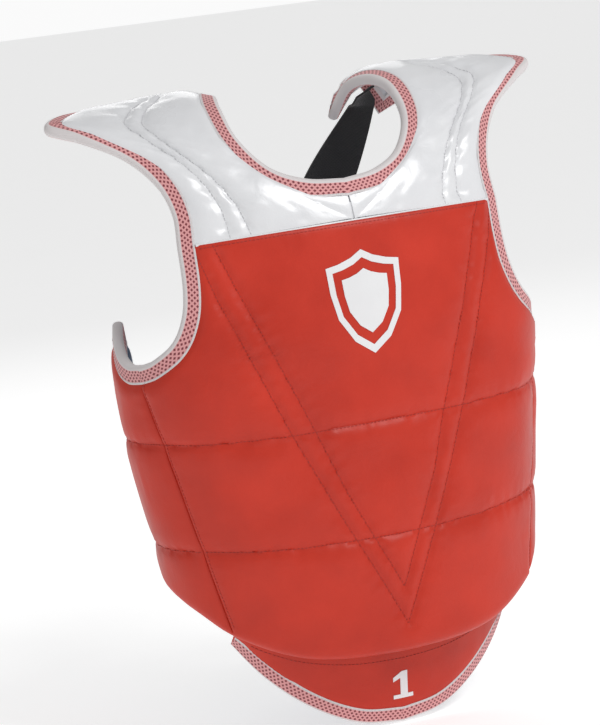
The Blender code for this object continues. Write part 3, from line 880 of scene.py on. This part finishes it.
seam_columns, seam_rows = grid_lines(0.27), np.linspace(0, 1, 7)
seam_sheet = laid(flap_seam, seam_columns, seam_rows)
half_cloth = np.full(seam_sheet[0].shape[:2], 0.8 * MM)
seam_strip = slab("abdomen_seam", seam_sheet, -half_cloth, half_cloth, seam_columns, seam_rows, (0.27, 0.02), BLUE)
hang(seam_strip, *FLAP_BEND, "blue_lining")
print("flap:", flap_sheet[0].shape[:2])

# %% [markdown]
# ## Bindings
# A woven tape is folded over each raw edge and sewn through all the layers. Its section is two legs and
# a round fold. Each station along an edge knows the way in across the pad and the way out through it,
# and the section is drawn there.


# %% Stations along an edge
def station(sheet, s, t, out, flat=False):
    """The edge point, a walk inwards over the sheet, the way out of the edge and the sheet's normal."""
    here, step = np.array(sheet(s, t)), 0.004
    inward_s, inward_t = (-step if s > 0.5 else step), (-step if t > 0.5 else step)
    along_s = (np.array(sheet(s + inward_s, t)) - here) / inward_s
    along_t = (np.array(sheet(s, t + inward_t)) - here) / inward_t
    normal = np.cross(along_s, along_t)
    normal /= np.linalg.norm(normal)
    walks = []
    for edge, other, sign in ((along_t, along_s, out[0]), (along_s, along_t, out[1])):
        if sign:
            tangent = edge / np.linalg.norm(edge)
            inward = -sign * (other - (other @ tangent) * tangent)
            walks.append(inward / np.linalg.norm(inward))
    inward = sum(walks)
    if flat:
        inward[0] = 0.0
        normal[0] = 0.0
        inward, normal = inward / np.linalg.norm(inward), normal / np.linalg.norm(normal)
    shares = np.linalg.lstsq(np.stack([along_s, along_t], axis=1), inward, rcond=None)[0]

    def walk(d):
        spot = np.array(sheet(s + shares[0] * d, t + shares[1] * d))
        if flat:
            spot[0] = 0.0
        return spot

    return here, walk, -inward / np.linalg.norm(inward), normal


LEG_STEPS = (12.5, 10.0, 7.5, 5.0, 2.8, 1.2)
TAPE_THICK = 0.8 * MM
FOLD_TURNS = (90, 64, 38, 13, -13, -38, -64, -90)


def bind(name, stations, leg=1.0, edge=TAPE_EDGE, rise=TAPE_RISE, bulge=2.4 * MM):
    """A closed tape, 0.8 mm thick, folded over the edge that the stations follow."""
    points, normals, across = [], [], []
    for here, walk, out, normal in stations:
        row, lift = [], []
        for side, steps in ((1, LEG_STEPS), (-1, LEG_STEPS[::-1])):
            for d in steps:
                height = edge + rise * d / LEG_STEPS[0] + CORE
                row.append(walk(d * leg * MM) + side * normal * height)
                lift.append(side * normal)
            if side == 1:
                for turn in FOLD_TURNS:
                    a = math.radians(turn)
                    row.append(here + normal * math.sin(a) * (edge + CORE) + out * math.cos(a) * bulge)
                    lift.append(normal * math.sin(a) + out * math.cos(a))
        points.append(row)
        normals.append(lift)
    points, normals = np.array(points), np.array(normals)
    normals /= np.linalg.norm(normals, axis=2, keepdims=True)
    middle = points[:, len(LEG_STEPS) + 3]
    run = np.concatenate([[0], np.cumsum(np.linalg.norm(np.diff(middle, axis=0), axis=1))])
    girth = np.concatenate([[0], np.cumsum(np.linalg.norm(np.diff(points[len(points) // 2], axis=0), axis=1))])
    shape = points.shape[:2]
    return slab(name, (points, normals), np.zeros(shape), np.full(shape, TAPE_THICK), run, girth, (1.0, 1.0), TAPE)


def shares_between(first, last, step):
    return [first + (last - first) * i / step for i in range(step + 1)]


# %% [markdown]
# One length of tape goes from the middle of the neck up the neck edge, round the end of the shoulder
# and down the armhole. At a corner the tape is mitred: one station there looks in both directions,
# and the stations just before and after it are left out.


# %% The long binding of neck, shoulder and armhole
def pattern_station(arc, z, inward):
    """A station given on the trunk's own pattern, by its place and the way in."""
    inward = np.array(inward) / np.linalg.norm(inward)

    def walk(d):
        return np.array(trunk(arc + inward[0] * d, z + inward[1] * d))

    here = walk(0)
    way_in = walk(2 * MM) - here
    beside = np.array(trunk(arc + inward[1] * 2 * MM, z - inward[0] * 2 * MM)) - here
    normal = np.cross(beside, way_in)
    normal *= -np.sign(normal[1]) / np.linalg.norm(normal)
    return here, walk, -way_in / np.linalg.norm(way_in), normal


ARMHOLE_CORNER = (armhole_edge(ARMHOLE_Z) + 1 * MM, ARMHOLE_Z)
SEAM_WAY = (-0.25, -0.97)


def armhole_stations():
    top = yoke_seam_z(armhole_edge(1))
    shares = shares_between(0.985, 0.03, 60)
    heights = [ARMHOLE_Z + (top - ARMHOLE_Z) * (0.12 * t + 0.88 * t * t) for t in shares]
    made = []
    for z in heights:
        lean = (armhole_edge(z + 0.5 * MM) - armhole_edge(z - 0.5 * MM)) / (1 * MM)
        made.append(pattern_station(armhole_edge(z), z, (-1, lean)))
    return made + [pattern_station(*ARMHOLE_CORNER, SEAM_WAY)]


def long_stations():
    stations = [station(shoulder_sheet, 0, 0, (-1, 0), flat=True)]
    stations += [station(shoulder_sheet, 0, v, (-1, 0)) for v in shares_between(0.012, 0.945, 90)]
    stations.append(station(shoulder_sheet, 0, 1, (-1, 1)))
    stations += [station(shoulder_sheet, u, 1, (0, 1)) for u in shares_between(0.30, 0.72, 8)]
    stations.append(station(shoulder_sheet, 1, 1, (1, 1)))
    stations += [station(shoulder_sheet, 1, v, (1, 0)) for v in shares_between(0.945, 0.0, 130)]
    return stations + armhole_stations()


neck_stations = long_stations()
neck_tape = bind("edge_tape", neck_stations)
NECK_NODES = ("neck_binding", "armhole_binding", "shoulder_binding")
hang_pair(neck_tape, "edge_tape", SHOULDER_BEND, "edge_tape", *NECK_NODES)
print("long binding:", len(neck_tape.data.polygons), "faces")


# %% The side panels' bindings and the flap's
def side_surface(s, t):
    return trunk(*side_pattern(s, t))


side_stations = [pattern_station(*ARMHOLE_CORNER, SEAM_WAY)]
side_stations += [station(side_surface, s, 1, (0, 1)) for s in shares_between(0.04, 0.86, 33)]
side_stations.append(station(side_surface, 1, 1, (1, 1)))
side_stations += [station(side_surface, 1, t, (1, 0)) for t in shares_between(0.93, 0.0, 60)]
hang_pair(bind("ribs_tape", side_stations), "ribs_tape", SIDE_BEND, "edge_tape", "side_binding")

flap_stations = [station(flap_surface, s, 0, (0, -1)) for s in shares_between(0.0, 1.0, 110)]
FLAP_TAPE = {"leg": 0.96, "edge": FLAP_EDGE, "rise": FLAP_RISE}
flap_tape = bind("abdomen_tape", flap_stations, bulge=1.8 * MM, **FLAP_TAPE)
hang(flap_tape, *FLAP_BEND, "edge_tape", "flap_binding")
print("side and flap bindings done")

# %% [markdown]
# Two seams are open to view: the yoke seam, and the short one below the throat. On each the white cloth
# is turned under and makes a low welt, so a narrow crowned strip lies along both.


# %% Welts on the yoke seam and below the throat
def welt(name, surface, count, size, low, top, crown):
    columns, rows = np.linspace(0, 1, count), np.linspace(0, 1, 9)
    sheet = laid(surface, columns, rows)
    high = top + crown * np.sqrt(np.clip(1 - (2 * rows - 1) ** 2, 0, 1))[None, :] + np.zeros((count, 1))
    piece = slab(name, sheet, np.full(high.shape, low), high, columns, rows, size, WHITE)
    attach(piece, "chest")


def yoke_welt(s, t):
    arc = (2 * s - 1) * 136.5 * MM
    return trunk(arc, yoke_seam_z(arc) + (2 * t - 1) * 1.2 * MM)


def throat_welt(s, t):
    foot, head = trunk(0, yoke_seam_z(0)), neck_edge(0)
    return foot.lerp(head, 0.03 + 0.42 * s) + Vector((1.3 * MM * (1 - 2 * t), 0, 0))


welt("yoke_welt", yoke_welt, 90, (0.27, 0.003), 3 * MM, 6.6 * MM, 0.9 * MM)
welt("throat_welt", throat_welt, 20, (0.02, 0.003), 1 * MM, 4.6 * MM, 0.8 * MM)
print("welts done")

# %% [markdown]
# ## Sewing
# A lockstitch shows as a row of short thread bumps with a dimple between them. Each bump is a small
# ball from `create_uvsphere`, drawn out along the seam by the matrix that places it.


# %% Rows of stitches on a finished surface
def tree_of(*made):
    bm = bmesh.new()
    for piece in made:
        bm.from_mesh(piece.data)
    tree = BVHTree.FromBMesh(bm)
    bm.free()
    return tree


def dropped(tree, point, normal):
    hit, facing, _, _ = tree.ray_cast(Vector(point) + Vector(normal) * 30 * MM, -Vector(normal), 60 * MM)
    return (hit, facing) if hit else (None, None)


def marks_along(path, pitch, last=0.4):
    """Distances at an even pitch along a path, and a function that gives the place at a distance."""
    lengths = np.concatenate([[0], np.cumsum(np.linalg.norm(np.diff(path, axis=0), axis=1))])

    def at(marks, values=path):
        return np.stack([np.interp(marks, lengths, column) for column in values.T], axis=1)

    return np.arange(pitch / 2, lengths[-1] - pitch * last, pitch), at


def stitch(bm, start, end, up, thick):
    axis = (end - start).normalized()
    side = up.cross(axis).normalized()
    turn = Matrix((side, axis.cross(side), axis)).transposed().to_4x4()
    reach = Matrix.Diagonal((thick, thick, (end - start).length / 2 + thick, 1))
    place = Matrix.Translation((start + end) / 2 + up * thick * 0.25)
    bmesh.ops.create_uvsphere(bm, u_segments=6, v_segments=4, radius=1, matrix=place @ turn @ reach)


def sew_tape(stations, leg=1.0, edge=TAPE_EDGE, rise=TAPE_RISE, pitch=3.8 * MM):
    """The row that holds a tape down, just inside its border."""
    share = 0.88
    lift = edge + rise * share + 0.95 * MM
    path = np.array([walk(LEG_STEPS[0] * share * leg * MM) + normal * lift for _, walk, _, normal in stations])
    ups = np.array([normal for _, _, _, normal in stations])
    marks, at = marks_along(path, pitch, last=1)
    for start, end, up in zip(at(marks - 0.3 * pitch), at(marks + 0.3 * pitch), at(marks, ups)):
        yield Vector(start), Vector(end), Vector(up).normalized(), 0.36 * MM


def sew(tree, surface, line, pitch=3.4 * MM, thick=0.42 * MM, scale=(1.0, 1.0), unit=1.0):
    """A row along a line of the surface's two numbers, dropped on the finished cloth."""
    marks, at = marks_along(np.array(line) * scale, pitch)
    spots, step = at(marks), 0.002 * unit
    for i, spot in enumerate(spots):
        way = spots[min(i + 1, len(spots) - 1)] - spots[max(i - 1, 0)]
        way *= 0.3 * pitch / max(np.linalg.norm(way), 1e-9)
        ends = []
        for p, q in ((spot - way) / scale, (spot + way) / scale):
            point = Vector(surface(p, q))
            normal = (Vector(surface(p + step, q)) - point).cross(Vector(surface(p, q + step)) - point)
            ends.append(dropped(tree, point, normal.normalized()))
        (start, face_a), (end, face_b) = ends
        if start and end and (end - start).length < pitch * 1.5:
            yield start, end, (face_a + face_b).normalized(), thick


def thread_piece(name, material, *rows):
    """All the stitches of some rows, made a few at a time: an operator slows down as a mesh grows."""
    bm, few, gathered = bmesh.new(), bmesh.new(), bpy.data.meshes.new("few_stitches")

    def gather():
        few.to_mesh(gathered)
        bm.from_mesh(gathered)
        few.clear()

    for row in rows:
        for made in row:
            stitch(few, *made)
            if len(few.verts) > 600:
                gather()
    gather()
    few.free()
    bpy.data.meshes.remove(gathered)
    piece = piece_of(bm, name, material)
    piece.data.shade_smooth()
    return piece


print("sewing helpers ready")

# %% Threads of the chest
BESIDE = 3.2 * MM
chest_tree = tree_of(chest_cover)
yoke_line = [(x, yoke_seam_z(x) - BESIDE) for x in np.linspace(-0.134, 0.134, 40)]
seam_lines = [[(sign * (seam_arc(z) - BESIDE), z) for z in np.linspace(0.04, 0.262, 30)] for sign in (-1, 1)]
rows = [sew(chest_tree, trunk, line) for line in CHEST_LINES + [yoke_line] + seam_lines]
chest_thread = thread_piece("chest_thread", RED_THREAD, *rows)
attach(chest_thread, "chest")
print("chest thread:", len(chest_thread.data.polygons), "faces")

# %% Threads of the sides, the shoulders and the flap
side_tree, white_tree, flap_tree = tree_of(side_cover), tree_of(white_cover), tree_of(flap_cover)
side_thread = thread_piece("ribs_thread", RED_THREAD, *(sew(side_tree, trunk, line) for line in SIDE_LINES))
hang_pair(side_thread, "ribs_thread", SIDE_BEND, "red_cover")
on_white = {"scale": (WHITE_WIDE, WHITE_TALL), "unit": 5.0}
rows = [sew(white_tree, shoulder_sheet, line, **on_white) for line in (CHANNEL_IN, CHANNEL_OUT)]
white_thread = thread_piece("white_thread", WHITE_THREAD, *rows)
hang_pair(white_thread, "white_thread", SHOULDER_BEND, "white_cover")
tape_thread = thread_piece("tape_thread", WHITE_THREAD, sew_tape(neck_stations))
hang_pair(tape_thread, "tape_thread", SHOULDER_BEND, "edge_tape")
side_tape_thread = thread_piece("ribs_tape_thread", WHITE_THREAD, sew_tape(side_stations))
hang_pair(side_tape_thread, "ribs_tape_thread", SIDE_BEND, "edge_tape")

fold_line = [(s, 0.80) for s in np.linspace(0.05, 0.95, 40)]
fold_row = sew(flap_tree, flap_surface, fold_line, scale=(0.28, 0.07), unit=5.0)
hang(thread_piece("abdomen_fold_thread", RED_THREAD, fold_row), *FLAP_BEND, "red_cover")
flap_thread = thread_piece("abdomen_thread", WHITE_THREAD, sew_tape(flap_stations, **FLAP_TAPE))
hang(flap_thread, *FLAP_BEND, "edge_tape")
print("threads:", len(side_thread.data.polygons), len(white_thread.data.polygons), len(flap_thread.data.polygons))

# %% [markdown]
# ## Prints
# Each print is a thin layer of ink. It starts as a flat outline, is cut into small squares with
# `bisect_plane` so that it can bend, and is then laid on the cloth under it.


# %% Laying a print on cloth
def cut_small(bm, low, high, pitch=3 * MM):
    for axis in (0, 1):
        count = int((high[axis] - low[axis]) / pitch)
        for i in range(1, count + 1):
            spot, way = [0.0, 0.0, 0.0], [0.0, 0.0, 0.0]
            spot[axis], way[axis] = low[axis] + i * pitch, 1.0
            geometry = bm.verts[:] + bm.edges[:] + bm.faces[:]
            bmesh.ops.bisect_plane(bm, geom=geometry, plane_co=spot, plane_no=way, dist=1e-6)


def printed(name, bm, surface, tree, body, node):
    """A flat drawing in x and y becomes ink on the cloth: x and y are the surface's two numbers."""
    xs, ys = [v.co.x for v in bm.verts], [v.co.y for v in bm.verts]
    cut_small(bm, (min(xs), min(ys)), (max(xs), max(ys)))
    bmesh.ops.triangulate(bm, faces=bm.faces[:])
    made = bmesh.ops.extrude_face_region(bm, geom=bm.faces[:])["geom"]
    raised = {v for v in made if isinstance(v, bmesh.types.BMVert)}
    for vertex in bm.verts:
        a, b = vertex.co.x, vertex.co.y
        point = Vector(surface(a, b))
        normal = (Vector(surface(a + MM, b)) - point).cross(Vector(surface(a, b + MM)) - point).normalized()
        hit, facing = dropped(tree, point, normal)
        vertex.co = (hit or point + normal * PAD_HALF) + normal * (0.45 * MM if vertex in raised else 0.1 * MM)
    piece = finish(bm, name, INK)
    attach(piece, body)
    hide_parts(node)
    return piece


HALF_SHIELD = [(0, -46), (16, -34), (28, -14), (32, 8), (33, 30), (22, 32), (10, 36), (0, 42)]
SHIELD_Z = 306


def shield_corners(scale):
    half = [(x * scale * MM, (SHIELD_Z + y * scale) * MM) for x, y in HALF_SHIELD]
    return half + [(-x, y) for x, y in reversed(half[1:-1])]


def shield_ring(outer, inner):
    bm = bmesh.new()
    edges = []
    for scale in (outer, inner):
        ring = [bm.verts.new((x, y, 0)) for x, y in shield_corners(scale)]
        edges += [bm.edges.new((a, b)) for a, b in zip(ring, ring[1:] + ring[:1])]
    bmesh.ops.bridge_loops(bm, edges=edges)
    return bm


def filled_outline(corners):
    bm = bmesh.new()
    bm.faces.new([bm.verts.new((x, y, 0)) for x, y in corners])
    return bm


printed("shield_rim", shield_ring(1.0, 0.84), trunk, chest_tree, "chest", "shield_outline")
printed("shield_middle", filled_outline(shield_corners(0.62)), trunk, chest_tree, "chest", "shield_centre")
print("shield printed")

# %% The numeral on the flap
NUMERAL = [(-9, -47), (9, -47), (9, -43.5), (4, -43.5), (4, -22), (-1, -22), (-9, -27), (-9, -31), (-2.5, -28),
           (-2.5, -43.5), (-9, -43.5)]  # fmt: skip


def flap_place(arc, z):
    return trunk(arc, z) + Vector((0, 21 * MM + 10 * MM * (1 - (z - flap_low(abs(arc))) / (72 * MM)), 0))


printed("abdomen_numeral", filled_outline([(x * MM, z * MM) for x, z in NUMERAL]), flap_place, flap_tree, "flap",
        "size_numeral")  # fmt: skip
print("numeral printed")

# %% [markdown]
# ## Straps and fastenings
# Flat elastic is modelled directly as a ribbon between two edge curves. It bends where it leaves a
# pad, and its far end is sewn to the chest.


# %% Elastic ribbons
def ribbon(name, first_edge, second_edge, thickness=1.8 * MM):
    one, two = curve_through(first_edge), curve_through(second_edge)
    columns, rows = np.linspace(0, 1, 13), np.linspace(0, 1, 60)
    sheet = laid(lambda s, t: one(t).lerp(two(t), s), columns, rows)
    high = np.full((13, 60), thickness / 2)
    length = np.linalg.norm(np.diff(sheet[0][6], axis=0), axis=1).sum()
    return slab(name, sheet, -high, high, columns, rows, (0.04, length), ELASTIC)


def beneath(surface, s, t, depth):
    point, step = surface(s, t), 0.002
    s_step, t_step = (-step if s > 0.5 else step), (-step if t > 0.5 else step)
    normal = ((surface(s + s_step, t) - point) / s_step).cross((surface(s, t + t_step) - point) / t_step)
    return tuple((point - normal.normalized() * depth * MM) / MM)


DEEP = 11.5
shoulder_strap = ribbon(
    "shoulder_elastic",
    [beneath(shoulder_sheet, s, t, DEEP) for s, t in ((0.05, 0.88), (0.06, 0.94), (0.10, 1.0))]
    + [(29, 99, 400), (1.8, 97, 348.2)],
    [beneath(shoulder_sheet, s, t, DEEP) for s, t in ((0.40, 0.88), (0.52, 0.94), (0.90, 1.0))]
    + [(72, 100, 380), (30.2, 97, 319.8)],
)  # fmt: skip


def side_strap(name, t, first_edge, second_edge):
    tip, hold = beneath(side_surface, 0.99, t, 14), beneath(side_surface, 0.84, t, 13)
    ends = [[(x, y, z + lift) for x, y, z in (tip, hold)] for lift in (19, -19)]
    return ribbon(name, first_edge + ends[0], second_edge + ends[1])


back_strap = side_strap("back_elastic", 0.62, [(30.2, 97, 316.2), (74, 97, 268)], [(1.8, 97, 287.8), (60, 97, 228)])
waist_strap = side_strap("waist_elastic", 0.18, [(36.5, 101, 137), (75, 98, 137)], [(36.5, 101, 99), (75, 98, 99)])
for strap, name, body, start, end in (
    (shoulder_strap, "shoulder", "shoulder", (50, 98, 380), (68, 94, 425)),
    (back_strap, "back", "side", (80, 97, 250), (160, 60, 215)),
    (waist_strap, "waist", "side", (80, 98, 118), (165, 55, 105)),
):
    bend = (body, [a * MM for a in start], [a * MM for a in end])
    hang_pair(strap, f"{name}_elastic", bend, "black_elastic", f"{name}_strap")
print("straps done")

# %% Finishes for the fastenings that the frame already holds
for node in ("cross_patch", "waist_patch", "waist_tab"):
    for holder in bpy.data.objects[node].material_slots:
        holder.material = LOOP
print("patches finished")

# %% [markdown]
# ## Floor, light and camera
# A large pale floor reaches out of sight. One broad soft lamp stands high in front, a weaker one fills
# from the side and one behind lights the inside through the armholes.

# %% Floor
GLOW = {"Roughness": 0.8, "Emission Color": (1, 1, 1, 1), "Emission Strength": 0.42}
floor_finish = grainy("pale floor", (0.92, 0.92, 0.92, 1), (0.90, 0.90, 0.90, 1), 4.0, 3.0, GLOW)
bm = bmesh.new()
bmesh.ops.create_grid(bm, x_segments=1, y_segments=1, size=30)
bmesh.ops.translate(bm, verts=bm.verts[:], vec=(0, 0, cad_box[0][2] - 1 * MM))
floor = finish(bm, "studio_floor", floor_finish, smooth=False)

# %% World and lamps
world = bpy.data.worlds.new("studio")
bpy.context.scene.world = world
world.use_nodes = True
background = world.node_tree.nodes["Background"]
background.inputs["Color"].default_value = (1, 1, 1, 1)
seen = wire(world.node_tree, "ShaderNodeLightPath").outputs["Is Camera Ray"]
level = wire(world.node_tree, "ShaderNodeMapRange", {"Value": seen, "To Min": 0.43, "To Max": 0.96})
world.node_tree.links.new(level.outputs[0], background.inputs["Strength"])


def softbox(name, where, towards, size, power):
    data = bpy.data.lights.new(name, "AREA")
    data.shape = "RECTANGLE"
    data.size, data.size_y, data.energy = size[0], size[1], power
    lamp = bpy.data.objects.new(name, data)
    bpy.context.scene.collection.objects.link(lamp)
    lamp.location = where
    lamp.rotation_euler = (Vector(towards) - Vector(where)).to_track_quat("-Z", "Y").to_euler()
    return lamp


softbox("key", (0.9, -1.8, 2.1), (0, 0, 0.25), (0.9, 0.7), 30)
softbox("fill", (-2.1, -1.3, 1.2), (0, 0, 0.2), (1.0, 1.0), 2)
softbox("back", (0.4, 2.2, 1.6), (0, 0, 0.25), (1.6, 1.2), 9)
print("lamps:", len(bpy.data.lights))

# %% Camera
azimuth, elevation = math.radians(-21), math.radians(8)
backwards = Vector(
    (math.sin(azimuth) * math.cos(elevation), -math.cos(azimuth) * math.cos(elevation), math.sin(elevation))
)
camera = bpy.data.cameras.new("camera")
camera.lens, camera.sensor_fit, camera.sensor_height = 147, "VERTICAL", 36
viewer = bpy.data.objects.new("camera", camera)
bpy.context.scene.collection.objects.link(viewer)
viewer.location = Vector((-0.030, 0.0116, 0.248)) + backwards * 2.6
roll = Quaternion((0, 0, 1), math.radians(-7))
viewer.rotation_euler = ((-backwards).to_track_quat("-Z", "Y") @ roll).to_euler()
bpy.context.scene.camera = viewer
bpy.context.scene.view_settings.view_transform = "Standard"
print("camera at", viewer.location)
